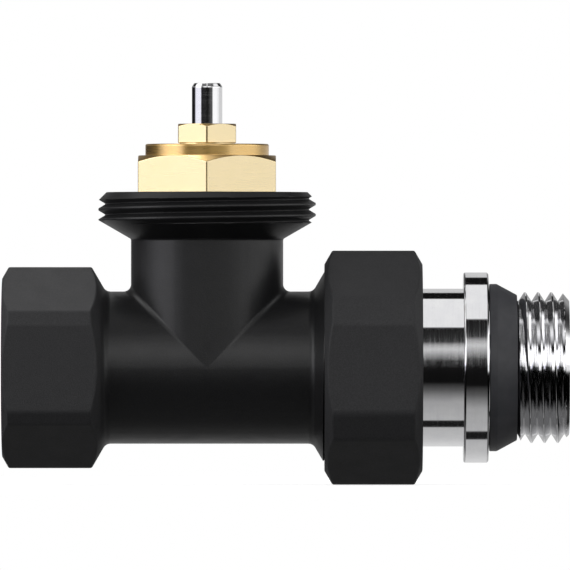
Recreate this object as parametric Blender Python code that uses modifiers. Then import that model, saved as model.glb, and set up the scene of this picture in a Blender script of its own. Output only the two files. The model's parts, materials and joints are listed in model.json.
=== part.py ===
"""Straight thermostatic radiator valve with a union tailpiece, as an assembly of separate pieces.

Frame: the origin is the centre of the inlet's end face, where the pipe screws in. +X runs along the
flow towards the radiator and +Z up the stem. Lengths are in metres, written as millimetres times MM.

Three groups move. The stem slides down against its spring and closes the seat. The union nut turns
on the tailpiece, and as it unscrews, it draws the tailpiece out of the body.
"""

from collections import namedtuple
from math import cos, pi, radians, sin, tan, tau

import bmesh
import bpy
from mathutils import Matrix

MM = 0.001
SEGMENTS = 32
SMALL_SEGMENTS = 20
WELD = 1e-5
SMOOTH_ANGLE = radians(30)

# Places along the flow axis.
STEM_X = 28.25 * MM
NUT_START = 44.43 * MM
NOSE_START = 49.0 * MM
BODY_END = 53.0 * MM
NUT_END = 57.95 * MM
FLANGE_START = 63.59 * MM
FLANGE_END = 67.02 * MM
SEAL_END = 71.13 * MM
TAIL_END = 78.17 * MM

# Heights on the stem axis, above the flow axis.
DECK_HALF = 1.3 * MM
CHAMBER_FLOOR = 1.5 * MM
SEAT_Z = 2.0 * MM
HOUSING_END = 11.5 * MM
HEAD_TOP = 24.2 * MM
HEX_TOP = 29.26 * MM
COLLAR_TOP = 30.85 * MM
GLAND_TOP = 33.63 * MM
PIN_TOP = 39.24 * MM
STROKE = 3.5 * MM

# Radii.
PIPE_R = 10.5 * MM
BORE_R = 8.2 * MM
PASSAGE_R = 8.0 * MM
NOSE_BORE_R = 9.05 * MM
CHAMBER_R = 7.8 * MM
SEAT_R = 4.75 * MM
INSERT_R = 9.0 * MM
HOUSING_R = 7.95 * MM
SPRING_BORE_R = 6.0 * MM
PIN_R = 2.1 * MM
SPINDLE_R = 1.9 * MM
TAIL_R = 10.88 * MM

# Widths of the hexagons across flats.
INLET_FLATS = 25.0 * MM
NUT_FLATS = 30.0 * MM
INSERT_FLATS = 19.0 * MM
GLAND_FLATS = 8.0 * MM

# Clearances between separate pieces, and how far cutters run past what they cut.
GAP = 0.3 * MM
SLIDE = 0.15 * MM
OVERCUT = 0.1 * MM
PAST = 2.0 * MM

HALF_FACE = radians(30)
STEEP = tan(radians(60))

# start and turn are the height and the angle at which the middle of the groove begins.
Thread = namedtuple("Thread", "major_r pitch depth crest flank start turn")
HEAD_THREAD = Thread(15.0 * MM, 1.5 * MM, 0.92 * MM, 0.19 * MM, radians(30), 17.29 * MM, 0.0)
UNION_THREAD = Thread(
    13.22 * MM, 1.814 * MM, 1.162 * MM, 0.3 * MM, radians(27.5), 44.35 * MM, radians(261)
)
TAIL_THREAD = Thread(10.4 * MM, 1.814 * MM, 1.162 * MM, 0.3 * MM, radians(27.5), 70.19 * MM, 0.0)
INLET_THREAD = Thread(10.48 * MM, 1.814 * MM, 1.162 * MM, 0.3 * MM, radians(27.5), -1.0 * MM, 0.0)
THREAD_PLAY = 0.25 * MM

Finish = namedtuple("Finish", "colour roughness metallic")
FINISHES = {
    "black_coating": Finish((0.035, 0.035, 0.038), 0.5, 0.0),
    "chrome": Finish((0.85, 0.85, 0.87), 0.08, 1.0),
    "brass": Finish((0.87, 0.69, 0.36), 0.25, 1.0),
    "spring_steel": Finish((0.55, 0.55, 0.56), 0.3, 1.0),
    "black_rubber": Finish((0.03, 0.03, 0.03), 0.7, 0.0),
    "seal_polymer": Finish((0.06, 0.06, 0.065), 0.45, 0.0),
}


# ---------------------------------------------------------------- scene helpers


def clear_scene():
    for obj in list(bpy.data.objects):
        bpy.data.objects.remove(obj, do_unlink=True)


def new_collection(name):
    made = bpy.data.collections.new(name)
    bpy.context.scene.collection.children.link(made)
    return made


def make_materials():
    made = {}
    for name, finish in FINISHES.items():
        material = bpy.data.materials.new(name)
        material.use_nodes = True
        shader = material.node_tree.nodes["Principled BSDF"]
        shader.inputs["Base Color"].default_value = (*finish.colour, 1.0)
        shader.inputs["Roughness"].default_value = finish.roughness
        shader.inputs["Metallic"].default_value = finish.metallic
        made[name] = material
    return made


def new_axis(name, matrix=None, parent=None):
    """An empty whose local +Z is the axis that its pieces are turned about."""
    empty = bpy.data.objects.new(name, None)
    parts.objects.link(empty)
    empty.parent = parent
    empty.matrix_basis = matrix or Matrix.Identity(4)
    return empty


def add_mesh(name, bm, axis, collection):
    mesh = bpy.data.meshes.new(name)
    bm.to_mesh(mesh)
    bm.free()
    obj = bpy.data.objects.new(name, mesh)
    collection.objects.link(obj)
    obj.parent = axis
    return obj


def as_cutter(obj):
    obj.hide_render = True
    obj.display_type = "WIRE"
    return obj


def with_finish(obj, finish):
    obj.data.materials.append(materials[finish])
    return obj


def boolean(obj, operation, *others):
    """Union, difference or intersection with all the others in one exact cut."""
    label = f"{obj.name} {operation.lower()}"
    group = bpy.data.collections.new(label)
    cutters.children.link(group)
    for other in others:
        cutters.objects.unlink(other)
        group.objects.link(other)
    modifier = obj.modifiers.new(label, "BOOLEAN")
    modifier.operation = operation
    modifier.solver = "EXACT"
    modifier.operand_type = "COLLECTION"
    modifier.collection = group
    return obj


def evaluated_mesh(obj):
    bpy.context.view_layer.update()
    graph = bpy.context.evaluated_depsgraph_get()
    return bpy.data.meshes.new_from_object(obj.evaluated_get(graph))


def shade_smooth(obj):
    """Applies a piece's cuts, then shades it smooth apart from its edges."""
    mesh = evaluated_mesh(obj)
    obj.modifiers.clear()
    obj.data = mesh
    mesh.shade_smooth()
    mesh.set_sharp_from_angle(angle=SMOOTH_ANGLE)


# ---------------------------------------------------------------- shape helpers


def outline(points, closed):
    """Edges through (radius, height) points, in the local XZ plane."""
    bm = bmesh.new()
    ends = [bm.verts.new((radius, 0, height)) for radius, height in points]
    for first, second in zip(ends, ends[1:]):
        bm.edges.new((first, second))
    if closed:
        bm.edges.new((ends[-1], ends[0]))
    return bm


def turned(name, outer, axis, collection, inner=(), segments=SEGMENTS):
    """A turned solid, or a ring if it has an inner outline. Both outlines run from the low end up."""
    obj = add_mesh(name, outline([*reversed(outer), *inner], bool(inner)), axis, collection)
    screw = obj.modifiers.new("turn", "SCREW")
    screw.steps = screw.render_steps = segments
    screw.use_merge_vertices = True
    screw.merge_threshold = WELD
    return obj


def turned_cutter(name, outer, axis, segments=SEGMENTS):
    return as_cutter(turned(name, outer, axis, cutters, segments=segments))


def drill(name, radius, low, high, axis):
    return turned_cutter(
        name, [(0, low), (radius, low), (radius, high), (0, high)], axis, SMALL_SEGMENTS
    )


def hex_bar(name, across_flats, low, high, axis, collection, corner_cut=0.0, turn=0.0):
    """A hexagonal bar with its corners cut flat. Unturned, it has corners on local Y."""
    bm = bmesh.new()
    corner_r = across_flats / 2 / cos(HALF_FACE)
    middle = Matrix.Translation((0, 0, (low + high) / 2)) @ Matrix.Rotation(turn, 4, "Z")
    bmesh.ops.create_cone(
        bm, cap_ends=True, segments=6, radius1=corner_r, radius2=corner_r, depth=high - low, matrix=middle
    )
    if corner_cut:
        lengthwise = [e for e in bm.edges if abs(e.verts[0].co.z - e.verts[1].co.z) > WELD]
        bmesh.ops.bevel(
            bm, geom=lengthwise, offset=corner_cut, offset_type="OFFSET", segments=1, affect="EDGES"
        )
    return add_mesh(name, bm, axis, collection)


def box_cutter(name, low, high, axis):
    bm = bmesh.new()
    size = [b - a for a, b in zip(low, high)]
    middle = [(a + b) / 2 for a, b in zip(low, high)]
    bmesh.ops.create_cube(bm, size=1.0, matrix=Matrix.LocRotScale(middle, None, size))
    return as_cutter(add_mesh(name, bm, axis, cutters))


def external_groove(thread):
    """Corners of the groove between two crests of an outside thread, as (radius, height)."""
    root = thread.major_r - thread.depth
    root_half = (thread.pitch - thread.crest) / 2 - thread.depth * tan(thread.flank)
    outer = thread.major_r + OVERCUT
    outer_half = root_half + (outer - root) * tan(thread.flank)
    return [(root, -root_half), (root, root_half), (outer, outer_half), (outer, -outer_half)]


def internal_groove(thread, play=0.0):
    """Corners of an inside thread's groove, which takes the outside thread's crest with that play."""
    root = thread.major_r + play
    inner = thread.major_r - thread.depth + play - OVERCUT
    root_half = thread.crest / 2 + play * tan(thread.flank) / 3
    inner_half = root_half + (root - inner) * tan(thread.flank)
    return [(inner, -inner_half), (inner, inner_half), (root, root_half), (root, -root_half)]


def thread_cutter(name, section, thread, turns, axis, segments=SEGMENTS):
    """A groove section swept up the thread's right-hand helix, closed at both ends."""
    section = [(radius, thread.start + height) for radius, height in section]
    sweep = add_mesh(name, outline(section, True), axis, cutters)
    screw = sweep.modifiers.new("helix", "SCREW")
    screw.angle = tau * turns
    screw.screw_offset = thread.pitch * turns
    screw.steps = screw.render_steps = round(segments * turns)
    bm = bmesh.new()
    bm.from_mesh(evaluated_mesh(sweep))
    bpy.data.objects.remove(sweep)
    bmesh.ops.holes_fill(bm, edges=[e for e in bm.edges if e.is_boundary], sides=0)
    bmesh.ops.recalc_face_normals(bm, faces=bm.faces)
    bmesh.ops.rotate(bm, verts=bm.verts, matrix=Matrix.Rotation(thread.turn, 3, "Z"))
    return as_cutter(add_mesh(name, bm, axis, cutters))


def half_bore(name, low, high, side):
    """Half of a passage along X, either over the deck, where side is 1, or under it, where it is -1."""
    bm = bmesh.new()
    middle = Matrix.Translation(((low + high) / 2, 0, 0)) @ Matrix.Rotation(pi / 2, 4, "Y")
    bmesh.ops.create_cone(
        bm,
        cap_ends=True,
        segments=SEGMENTS,
        radius1=PASSAGE_R,
        radius2=PASSAGE_R,
        depth=high - low,
        matrix=middle,
    )
    cut = bmesh.ops.bisect_plane(
        bm,
        geom=[*bm.verts, *bm.edges, *bm.faces],
        plane_co=(0, 0, side * DECK_HALF),
        plane_no=(0, 0, side),
        clear_inner=True,
    )
    rim = [item for item in cut["geom_cut"] if isinstance(item, bmesh.types.BMEdge)]
    bmesh.ops.edgeloop_fill(bm, edges=rim)
    bmesh.ops.recalc_face_normals(bm, faces=bm.faces)
    return as_cutter(add_mesh(name, bm, frame, cutters))


def o_ring(name, ring_r, section_r, height, axis):
    bpy.ops.mesh.primitive_torus_add(
        major_radius=ring_r, minor_radius=section_r, major_segments=SMALL_SEGMENTS, minor_segments=6
    )
    ring = bpy.context.object
    ring.name = name
    for collection in ring.users_collection:
        collection.objects.unlink(ring)
    parts.objects.link(ring)
    ring.parent = axis
    ring.location = (0, 0, height)
    return with_finish(ring, "black_rubber")


def washer(name, outer_r, inner_r, low, high, axis, finish, edge=0.0):
    """A plain ring, with its outer edges chamfered by edge."""
    outer = [(outer_r, low), (outer_r, high)]
    if edge:
        flat_r = outer_r - edge
        outer = [(flat_r, low), (outer_r, low + edge), (outer_r, high - edge), (flat_r, high)]
    inner = [(inner_r, low), (inner_r, high)]
    return with_finish(turned(name, outer, axis, parts, inner, SMALL_SEGMENTS), finish)


def wire(name, points, wire_r, axis):
    """A round wire through points, with closed ends."""
    curve = bpy.data.curves.new(name, "CURVE")
    curve.dimensions = "3D"
    curve.bevel_depth = wire_r
    curve.bevel_resolution = 1
    curve.use_fill_caps = True
    spline = curve.splines.new("POLY")
    spline.points.add(len(points) - 1)
    for point, place in zip(spline.points, points):
        point.co = (*place, 1.0)
    obj = bpy.data.objects.new(name, curve)
    parts.objects.link(obj)
    obj.parent = axis
    return with_finish(obj, "spring_steel")


# ---------------------------------------------------------------- the body casting


def inlet_hexagon():
    """The spanner hexagon round the inlet: chamfered at the pipe end, coned down to the tube."""
    length = 16.0 * MM
    face_r, full_r = 12.3 * MM, 14.4 * MM
    chamfer_end = (full_r - face_r) / STEEP
    cone_start = 12.3 * MM
    cone_end_r = 9.5 * MM
    cone_end = cone_start + (full_r - cone_end_r) / STEEP
    bar = hex_bar(
        "inlet_hex_blank", INLET_FLATS, 0, length, flow, cutters, corner_cut=1.27 * MM, turn=HALF_FACE
    )
    envelope = turned_cutter(
        "inlet_hex_envelope",
        [
            (0, 0),
            (face_r, 0),
            (full_r, chamfer_end),
            (full_r, cone_start),
            (cone_end_r, cone_end),
            (0, cone_end),
        ],
        flow,
    )
    return as_cutter(boolean(bar, "INTERSECT", envelope))


def head_neck():
    """The neck up the stem axis and the threaded ring that takes the thermostatic head."""
    top_r = 13.9 * MM
    ring_r = HEAD_THREAD.major_r
    ring_low = 20.33 * MM
    cone_foot = ring_low - (ring_r - PIPE_R) / STEEP
    return turned_cutter(
        "head_neck_blank",
        [
            (0, 0),
            (PIPE_R, 0),
            (PIPE_R, cone_foot),
            (ring_r, ring_low),
            (ring_r, HEAD_TOP - (ring_r - top_r)),
            (top_r, HEAD_TOP),
            (0, HEAD_TOP),
        ],
        stem,
    )


def inlet_socket():
    """The pipe's socket and the bore behind it, up to the wall on the seat's inlet side."""
    minor_r = INLET_THREAD.major_r - INLET_THREAD.depth
    mouth_r = 10.75 * MM
    socket_end = 14.0 * MM
    wall = STEM_X - CHAMBER_R - 1.6 * MM
    return turned_cutter(
        "inlet_socket",
        [
            (0, -PAST),
            (mouth_r, -PAST),
            (mouth_r, 0),
            (minor_r, mouth_r - minor_r),
            (minor_r, socket_end),
            (BORE_R, socket_end + minor_r - BORE_R),
            (BORE_R, wall),
            (0, wall),
        ],
        flow,
    )


def outlet_bore():
    """The outlet's bore and the wider one that takes the tailpiece's nose."""
    start = STEM_X + 7.6 * MM
    nose_seat = 48.0 * MM
    return turned_cutter(
        "outlet_bore",
        [
            (0, start),
            (BORE_R, start),
            (BORE_R, nose_seat - (NOSE_BORE_R - BORE_R)),
            (NOSE_BORE_R, nose_seat),
            (NOSE_BORE_R, BODY_END + PAST),
            (0, BODY_END + PAST),
        ],
        flow,
    )


def seat_chamber():
    """The space over the seat and the stepped bore above it that takes the insert."""
    lip_r = 5.6 * MM
    seal_end = 14.6 * MM
    insert_bore_r = INSERT_R + SLIDE
    pocket_r = 11.3 * MM
    pocket_floor = HEAD_TOP - 0.4 * MM
    return turned_cutter(
        "seat_chamber",
        [
            (0, SEAT_Z),
            (lip_r, SEAT_Z),
            (lip_r, CHAMBER_FLOOR),
            (CHAMBER_R, CHAMBER_FLOOR),
            (CHAMBER_R, HOUSING_END - 0.9 * MM),
            (BORE_R, HOUSING_END - 0.5 * MM),
            (BORE_R, seal_end),
            (insert_bore_r, seal_end + insert_bore_r - BORE_R),
            (insert_bore_r, pocket_floor),
            (pocket_r, pocket_floor),
            (pocket_r, HEAD_TOP + PAST),
            (0, HEAD_TOP + PAST),
        ],
        stem,
    )


def valve_body():
    """Tee casting: tube with the union spigot, inlet hexagon, neck, passages, seat and threads."""
    spigot_r, end_r = UNION_THREAD.major_r, 12.0 * MM
    tube_start = 6.0 * MM
    cone_start = 42.85 * MM
    cone_end = cone_start + (spigot_r - PIPE_R) / STEEP
    inlet_passage_start = 17.5 * MM
    passages_meet = STEM_X + 6.0 * MM
    outlet_passage_end = STEM_X + 9.0 * MM
    head_turns, union_turns, inlet_turns = 6, 5.2, 6
    body = turned(
        "valve_body",
        [
            (0, tube_start),
            (PIPE_R, tube_start),
            (PIPE_R, cone_start),
            (spigot_r, cone_end),
            (spigot_r, BODY_END - (spigot_r - end_r)),
            (end_r, BODY_END),
            (0, BODY_END),
        ],
        flow,
        parts,
    )
    inlet_groove = thread_cutter(
        "inlet_groove", internal_groove(INLET_THREAD), INLET_THREAD, inlet_turns, flow, SMALL_SEGMENTS
    )
    boolean(body, "UNION", inlet_hexagon(), head_neck())
    boolean(
        body,
        "DIFFERENCE",
        seat_chamber(),
        drill("seat_hole", SEAT_R, -DECK_HALF - PAST, SEAT_Z + PAST, stem),
        inlet_socket(),
        outlet_bore(),
        half_bore("inlet_passage", inlet_passage_start, passages_meet, -1),
        half_bore("outlet_passage", passages_meet, outlet_passage_end, 1),
        thread_cutter("head_groove", external_groove(HEAD_THREAD), HEAD_THREAD, head_turns, stem),
        thread_cutter("union_groove", external_groove(UNION_THREAD), UNION_THREAD, union_turns, flow),
        inlet_groove,
    )
    return with_finish(body, "black_coating")


# ---------------------------------------------------------------- the insert


def insert_housing():
    """Brass housing: hexagon, collar, barrel with the seal's groove, and the spring's bore."""
    hex_low = HEAD_TOP - 0.1 * MM
    full_r, top_r = 11.2 * MM, INSERT_FLATS / 2 - 0.1 * MM
    bar = hex_bar("housing_hex_blank", INSERT_FLATS, hex_low, HEX_TOP, stem, cutters)
    envelope = turned_cutter(
        "housing_hex_envelope",
        [
            (0, hex_low - PAST),
            (full_r, hex_low - PAST),
            (full_r, HEX_TOP - (full_r - top_r) * tan(HALF_FACE)),
            (top_r, HEX_TOP),
            (0, HEX_TOP),
        ],
        stem,
    )
    boolean(bar, "INTERSECT", envelope)
    collar_r = 8.52 * MM
    edge = 0.3 * MM
    groove_r = 6.9 * MM
    groove_low, groove_high = 12.3 * MM, 14.2 * MM
    step_low, step_high = 15.1 * MM, 15.9 * MM
    housing = turned(
        "insert_housing",
        [
            (0, HOUSING_END),
            (HOUSING_R, HOUSING_END),
            (HOUSING_R, groove_low),
            (groove_r, groove_low),
            (groove_r, groove_high),
            (HOUSING_R, groove_high),
            (HOUSING_R, step_low),
            (INSERT_R, step_high),
            (INSERT_R, HEAD_TOP + edge),
            (collar_r, HEAD_TOP + edge),
            (collar_r, COLLAR_TOP - edge),
            (collar_r - edge, COLLAR_TOP),
            (0, COLLAR_TOP),
        ],
        stem,
        parts,
    )
    spring_roof = 26.4 * MM
    gland_bore_r = 4.05 * MM
    bore = turned_cutter(
        "housing_bore",
        [
            (0, HOUSING_END - PAST),
            (SPRING_BORE_R, HOUSING_END - PAST),
            (SPRING_BORE_R, spring_roof),
            (gland_bore_r, spring_roof),
            (gland_bore_r, COLLAR_TOP + PAST),
            (0, COLLAR_TOP + PAST),
        ],
        stem,
    )
    boolean(housing, "UNION", as_cutter(bar))
    boolean(housing, "DIFFERENCE", bore)
    return with_finish(housing, "brass")


def gland_nut():
    """Small hexagon that holds the stem seal and screws into the housing."""
    hex_low = COLLAR_TOP + SLIDE
    full_r, top_r = 4.8 * MM, GLAND_FLATS / 2 - 0.05 * MM
    bar = hex_bar("gland_hex_blank", GLAND_FLATS, hex_low, GLAND_TOP, stem, cutters, corner_cut=0.15 * MM)
    envelope = turned_cutter(
        "gland_hex_envelope",
        [
            (0, hex_low - PAST),
            (full_r, hex_low - PAST),
            (full_r, GLAND_TOP - (full_r - top_r) * tan(HALF_FACE)),
            (top_r, GLAND_TOP),
            (0, GLAND_TOP),
        ],
        stem,
        SMALL_SEGMENTS,
    )
    boolean(bar, "INTERSECT", envelope)
    shank_r = 3.85 * MM
    shank_low, shank_high = 26.6 * MM, hex_low + MM
    nut = turned(
        "gland_nut",
        [(0, shank_low), (shank_r, shank_low), (shank_r, shank_high), (0, shank_high)],
        stem,
        parts,
        segments=SMALL_SEGMENTS,
    )
    seal_r = 3.1 * MM
    seal_roof = 29.6 * MM
    bore = turned_cutter(
        "gland_bore",
        [
            (0, shank_low - PAST),
            (seal_r, shank_low - PAST),
            (seal_r, seal_roof),
            (PIN_R + SLIDE, seal_roof),
            (PIN_R + SLIDE, GLAND_TOP + PAST),
            (0, GLAND_TOP + PAST),
        ],
        stem,
        SMALL_SEGMENTS,
    )
    boolean(nut, "UNION", as_cutter(bar))
    boolean(nut, "DIFFERENCE", bore)
    return with_finish(nut, "brass")


def return_spring():
    """Coil between the guide and the spring plate, with its end turns closed up."""
    wire_r, coil_r = 0.45 * MM, 4.6 * MM
    low, high = 13.2 * MM + wire_r, 23.3 * MM - wire_r
    turns, per_turn = 5, 14
    closing = 0.35
    count = turns * per_turn
    points = []
    for i in range(count + 1):
        along = i / count
        eased = along - closing * sin(tau * along) / tau
        angle = tau * turns * along
        points.append((coil_r * cos(angle), coil_r * sin(angle), low + (high - low) * eased))
    return wire("return_spring", points, wire_r, stem)


# ---------------------------------------------------------------- the moving stem


def pressure_pin():
    """The pin that the thermostatic head presses, with a head that the gland nut keeps in."""
    top_r, chamfer = 1.78 * MM, 0.5 * MM
    head_r = 2.8 * MM
    head_low, head_high = 26.3 * MM, 27.2 * MM
    pin = turned(
        "pressure_pin",
        [
            (0, head_low),
            (head_r, head_low),
            (head_r, head_high),
            (PIN_R, head_high),
            (PIN_R, PIN_TOP - chamfer),
            (top_r, PIN_TOP),
            (0, PIN_TOP),
        ],
        moving_stem,
        parts,
        segments=SMALL_SEGMENTS,
    )
    return with_finish(pin, "chrome")


def valve_spindle():
    """Spindle from the pin down to the disc, with a clip groove and a shoulder for the disc."""
    end_r, end_low = 1.5 * MM, 3.9 * MM
    shoulder_r = 2.6 * MM
    shoulder_low, shoulder_high = 8.75 * MM, 9.7 * MM
    groove_r = 1.35 * MM
    groove_low, groove_high = 24.5 * MM, 25.3 * MM
    top = 26.1 * MM
    spindle = turned(
        "valve_spindle",
        [
            (0, end_low),
            (end_r, end_low),
            (end_r, shoulder_low),
            (shoulder_r, shoulder_low),
            (shoulder_r, shoulder_high),
            (SPINDLE_R, shoulder_high),
            (SPINDLE_R, groove_low),
            (groove_r, groove_low),
            (groove_r, groove_high),
            (SPINDLE_R, groove_high),
            (SPINDLE_R, top),
            (0, top),
        ],
        moving_stem,
        parts,
        segments=SMALL_SEGMENTS,
    )
    return with_finish(spindle, "brass")


def spindle_clip():
    """Flat C-shaped clip in the spindle's groove, which carries the spring plate."""
    low, high = 24.6 * MM, 25.2 * MM
    outer_r, inner_r = 3.3 * MM, 1.5 * MM
    mouth = 1.25 * MM
    clip = washer("spindle_clip", outer_r, inner_r, low, high, moving_stem, "spring_steel")
    slot = box_cutter(
        "clip_mouth", (0, -mouth, low - PAST), (outer_r + PAST, mouth, high + PAST), moving_stem
    )
    return boolean(clip, "DIFFERENCE", slot)


def disc_holder():
    """Brass cup that backs the rubber disc."""
    outer_r, cup_r, bore_r = 6.9 * MM, 6.4 * MM, 1.65 * MM
    rim, plate_low, plate_high = 6.0 * MM, 7.15 * MM, 8.6 * MM
    edge = 0.4 * MM
    holder = turned(
        "disc_holder",
        [(outer_r, rim), (outer_r, plate_high - edge), (outer_r - edge, plate_high)],
        moving_stem,
        parts,
        inner=[(cup_r, rim), (cup_r, plate_low), (bore_r, plate_low), (bore_r, plate_high)],
    )
    return with_finish(holder, "brass")


def disc_nut():
    """Hexagon nut that clamps the disc to the spindle's end."""
    flats, bore_r = 5.0 * MM, 1.65 * MM
    low, high = 4.3 * MM, 5.2 * MM
    nut = hex_bar("disc_nut", flats, low, high, moving_stem, parts)
    boolean(nut, "DIFFERENCE", drill("disc_nut_bore", bore_r, low - PAST, high + PAST, moving_stem))
    return with_finish(nut, "brass")


# ---------------------------------------------------------------- tailpiece and union nut


def tailpiece():
    """Tailpiece: sealing nose, barrel with the snap ring's groove, flange and pipe thread."""
    nose_r, nose_groove_r = NOSE_BORE_R - GAP, 7.65 * MM
    nose_groove_start, nose_groove_end = 50.2 * MM, 52.2 * MM
    ring_groove_r = 10.1 * MM
    ring_groove_start, ring_groove_end = 53.9 * MM, 55.5 * MM
    flange_r, edge = 13.12 * MM, 0.25 * MM
    relief_r = 9.0 * MM
    thread_r, end_r = TAIL_THREAD.major_r, 9.23 * MM
    thread_start, thread_end = SEAL_END + 0.7 * MM, TAIL_END - 0.97 * MM
    bore_r = 6.3 * MM
    tail = turned(
        "tailpiece",
        [
            (nose_r - edge, NOSE_START),
            (nose_r, NOSE_START + edge),
            (nose_r, nose_groove_start),
            (nose_groove_r, nose_groove_start),
            (nose_groove_r, nose_groove_end),
            (nose_r, nose_groove_end),
            (nose_r, BODY_END + GAP),
            (TAIL_R, BODY_END + GAP),
            (TAIL_R, ring_groove_start),
            (ring_groove_r, ring_groove_start),
            (ring_groove_r, ring_groove_end),
            (TAIL_R, ring_groove_end),
            (TAIL_R, FLANGE_START),
            (flange_r - edge, FLANGE_START),
            (flange_r, FLANGE_START + edge),
            (flange_r, FLANGE_END - edge),
            (flange_r - edge, FLANGE_END),
            (relief_r, FLANGE_END),
            (relief_r, SEAL_END),
            (thread_r, thread_start),
            (thread_r, thread_end),
            (end_r, TAIL_END),
        ],
        moving_tail,
        parts,
        inner=[(bore_r, NOSE_START), (bore_r, TAIL_END)],
    )
    key_flats, key_start = 13.0 * MM, 69.5 * MM
    socket = hex_bar(
        "key_socket", key_flats, key_start, TAIL_END + PAST, moving_tail, cutters, turn=HALF_FACE
    )
    turns = 5
    groove = thread_cutter("tail_groove", external_groove(TAIL_THREAD), TAIL_THREAD, turns, moving_tail)
    boolean(tail, "DIFFERENCE", as_cutter(socket), groove)
    return with_finish(tail, "chrome")


def seal_ring():
    """Self-sealing ring behind the flange: a short cylinder, then a cone towards the thread."""
    start, end = FLANGE_END + SLIDE, SEAL_END - SLIDE
    inner_r = 9.0 * MM + SLIDE
    outer_r, end_r = 11.54 * MM, 10.02 * MM
    cone_start = start + MM
    ring = turned(
        "seal_ring",
        [(outer_r, start), (outer_r, cone_start), (end_r, end)],
        moving_tail,
        parts,
        inner=[(inner_r, start), (inner_r, end)],
    )
    return with_finish(ring, "seal_polymer")


def snap_ring():
    """Round-wire ring in the barrel's groove, which the union nut pulls against."""
    ring_r, wire_r = 11.0 * MM, 0.65 * MM
    middle = 54.7 * MM
    half_gap = radians(8)
    count = 28
    points = []
    for i in range(count + 1):
        angle = half_gap + (tau - 2 * half_gap) * i / count
        points.append((ring_r * cos(angle), ring_r * sin(angle), middle))
    return wire("nut_snap_ring", points, wire_r, moving_tail)


def union_nut():
    """Hexagon union nut, tapped for the body's spigot, with an inner lip behind the snap ring."""
    full_r, face_r = 17.5 * MM, 14.25 * MM
    chamfer = (full_r - face_r) / STEEP
    envelope = turned_cutter(
        "union_nut_envelope",
        [
            (0, NUT_START),
            (face_r, NUT_START),
            (full_r, NUT_START + chamfer),
            (full_r, NUT_END - chamfer),
            (face_r, NUT_END),
            (0, NUT_END),
        ],
        moving_nut,
    )
    minor_r = UNION_THREAD.major_r - UNION_THREAD.depth + THREAD_PLAY
    mouth_r = UNION_THREAD.major_r + GAP
    mouth_end = NUT_START + 0.4 * MM
    lip_start = 55.6 * MM
    bore = turned_cutter(
        "union_nut_bore",
        [
            (0, NUT_START - PAST),
            (mouth_r, NUT_START - PAST),
            (mouth_r, mouth_end),
            (minor_r, mouth_end + mouth_r - minor_r),
            (minor_r, lip_start),
            (TAIL_R + SLIDE, lip_start),
            (TAIL_R + SLIDE, NUT_END + PAST),
            (0, NUT_END + PAST),
        ],
        moving_nut,
    )
    # The nut's groove takes the spigot's crest, which lies half a pitch from the spigot's groove.
    thread = UNION_THREAD._replace(start=UNION_THREAD.start - 1.5 * UNION_THREAD.pitch)
    turns = 7
    section = internal_groove(thread, THREAD_PLAY)
    groove = thread_cutter("union_nut_groove", section, thread, turns, moving_nut)
    nut = hex_bar(
        "union_nut", NUT_FLATS, NUT_START, NUT_END, moving_nut, parts, corner_cut=2.33 * MM, turn=HALF_FACE
    )
    boolean(nut, "INTERSECT", envelope)
    boolean(nut, "DIFFERENCE", bore, groove)
    return with_finish(nut, "black_coating")


# ---------------------------------------------------------------- assembly

clear_scene()
parts = new_collection("thermostatic_radiator_valve")
cutters = new_collection("cutters")
materials = make_materials()

frame = new_axis("frame")
flow = new_axis("flow_axis", Matrix.Rotation(pi / 2, 4, "Y"))
stem = new_axis("stem_axis", Matrix.Translation((STEM_X, 0, 0)))
moving_stem = new_axis("moving_stem", parent=stem)
moving_tail = new_axis("moving_tail", parent=flow)
moving_nut = new_axis("moving_nut", parent=moving_tail)

valve_body()
insert_housing()
o_ring("insert_o_ring", 7.5 * MM, 0.55 * MM, 13.25 * MM, stem)
washer(
    "spindle_guide",
    SPRING_BORE_R - SLIDE,
    SPINDLE_R + SLIDE,
    HOUSING_END,
    13.0 * MM,
    stem,
    "brass",
    edge=0.2 * MM,
)
gland_nut()
washer("gland_washer", 2.95 * MM, PIN_R + SLIDE, 27.5 * MM, 28.1 * MM, stem, "brass")
o_ring("gland_o_ring", 2.65 * MM, 0.38 * MM, 28.85 * MM, stem)
return_spring()

pressure_pin()
valve_spindle()
washer(
    "spring_plate", 5.5 * MM, SPINDLE_R + SLIDE, 23.5 * MM, 24.4 * MM, moving_stem, "brass", edge=0.2 * MM
)
spindle_clip()
disc_holder()
open_disc_z = SEAT_Z + STROKE + 0.1 * MM
washer("valve_disc", 6.2 * MM, 1.65 * MM, open_disc_z, 6.95 * MM, moving_stem, "black_rubber")
disc_nut()

tailpiece()
o_ring("union_o_ring", 8.35 * MM, 0.6 * MM, 51.2 * MM, moving_tail)
snap_ring()
seal_ring()
union_nut()

for piece in [obj for obj in parts.objects if obj.type == "MESH"]:
    shade_smooth(piece)
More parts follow.
